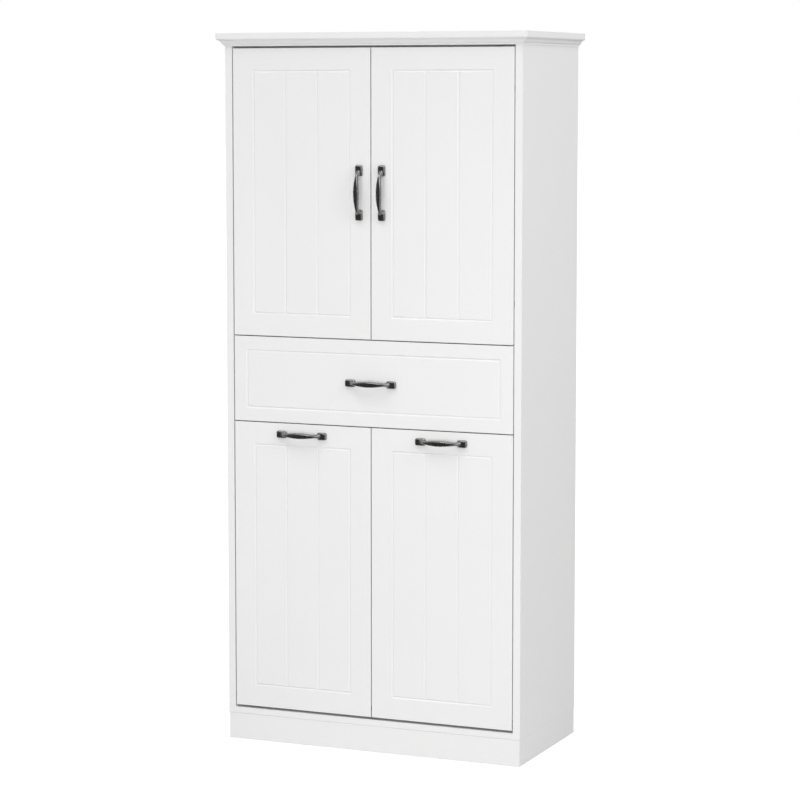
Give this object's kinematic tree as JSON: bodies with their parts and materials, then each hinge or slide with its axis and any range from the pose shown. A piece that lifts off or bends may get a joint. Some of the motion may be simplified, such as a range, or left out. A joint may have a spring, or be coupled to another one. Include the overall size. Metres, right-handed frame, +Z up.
{
  "type": "bathroom laundry cabinet",
  "caption": "Tall white cabinet with two hinged doors above a full-width drawer and two tilt-out laundry bins, with a moulded cornice, a flush plinth and bow handles.",
  "frame": {"origin": "on the floor, under the middle of the outer box (cornice and handles included)", "axes": "+Z up, the doors face -Y, +X to the right as one faces the doors; the cabinet is the same left and right of X = 0"},
  "size_m": [0.669, 0.342, 1.445],
  "materials": {
    "front_board": "satin white foil on fibreboard",
    "inner_board": "white melamine-faced chipboard",
    "hardboard": "hardboard, white on the inside",
    "handle_metal": "black gun-metal lacquer, semi-gloss",
    "steel": "nickel- or zinc-plated",
    "nylon": "moulded nylon",
    "bag_fabric": "woven cotton canvas"
  },
  "bodies": {
    "carcass": {"side_panel_left": "front_board", "side_panel_right": "front_board", "carcass_top": "inner_board", "upper_shelf": "inner_board", "lower_shelf": "inner_board", "bottom_panel": "inner_board", "centre_divider": "inner_board", "back_rail": "inner_board", "back_panel_upper": "hardboard", "back_panel_lower": "hardboard", "top_board": "front_board", "cornice_front": "front_board", "cornice_left": "front_board", "cornice_right": "front_board", "plinth_front": "front_board", "plinth_left": "front_board", "plinth_right": "front_board", "plinth_back": "front_board", "glides": "nylon", "adjustable_shelves": "inner_board", "shelf_pins": "nylon", "hinge_arms": "steel", "drawer_runners_outer": "steel", "bin_pivot_brackets": "steel", "bin_stops": "nylon", "carcass_screws": "steel", "cam_fittings": "steel"},
    "left_door": {"door_left": "front_board", "door_left_handle": "handle_metal", "door_left_hinge_cups": "steel", "door_left_screws": "steel"},
    "right_door": {"door_right": "front_board", "door_right_handle": "handle_metal", "door_right_hinge_cups": "steel", "door_right_screws": "steel"},
    "drawer": {"drawer_front": "front_board", "drawer_handle": "handle_metal", "drawer_sides": "inner_board", "drawer_back": "inner_board", "drawer_bottom": "inner_board", "drawer_runners_inner": "steel", "drawer_screws": "steel"},
    "runner_middles": {"drawer_runners_middle": "steel", "drawer_runner_balls": "steel"},
    "left_bin": {"bin_left_front": "front_board", "bin_left_handle": "handle_metal", "bin_left_sides": "inner_board", "bin_left_back": "inner_board", "bin_left_base": "inner_board", "bin_left_pins": "steel", "bin_left_screws": "steel", "bin_left_bag": "bag_fabric"},
    "right_bin": {"bin_right_front": "front_board", "bin_right_handle": "handle_metal", "bin_right_sides": "inner_board", "bin_right_back": "inner_board", "bin_right_base": "inner_board", "bin_right_pins": "steel", "bin_right_screws": "steel", "bin_right_bag": "bag_fabric"}
  },
  "joints": [
    {"name": "door_left_swing", "type": "hinge", "parent": "carcass", "child": "left_door", "pos_m": [-0.295, -0.1425, 1.126], "axis": [0, 0, -1], "range_deg": [0, 95]},
    {"name": "door_right_swing", "type": "hinge", "parent": "carcass", "child": "right_door", "pos_m": [0.295, -0.1425, 1.126], "axis": [0, 0, 1], "range_deg": [0, 95]},
    {"name": "drawer_slide", "type": "slide", "parent": "carcass", "child": "drawer", "axis": [0, -1, 0], "range_m": [0, 0.24]},
    {"name": "runner_slide", "type": "slide", "parent": "carcass", "child": "runner_middles", "axis": [0, -1, 0], "range_m": [0, 0.12]},
    {"name": "bin_left_tilt", "type": "hinge", "parent": "carcass", "child": "left_bin", "pos_m": [-0.152, -0.14, 0.084], "axis": [1, 0, 0], "range_deg": [0, 32]},
    {"name": "bin_right_tilt", "type": "hinge", "parent": "carcass", "child": "right_bin", "pos_m": [0.152, -0.14, 0.084], "axis": [1, 0, 0], "range_deg": [0, 32]}
  ],
  "couplings": [
    {"joint": "runner_slide", "follows": "drawer_slide", "ratio": 0.5}
  ]
}
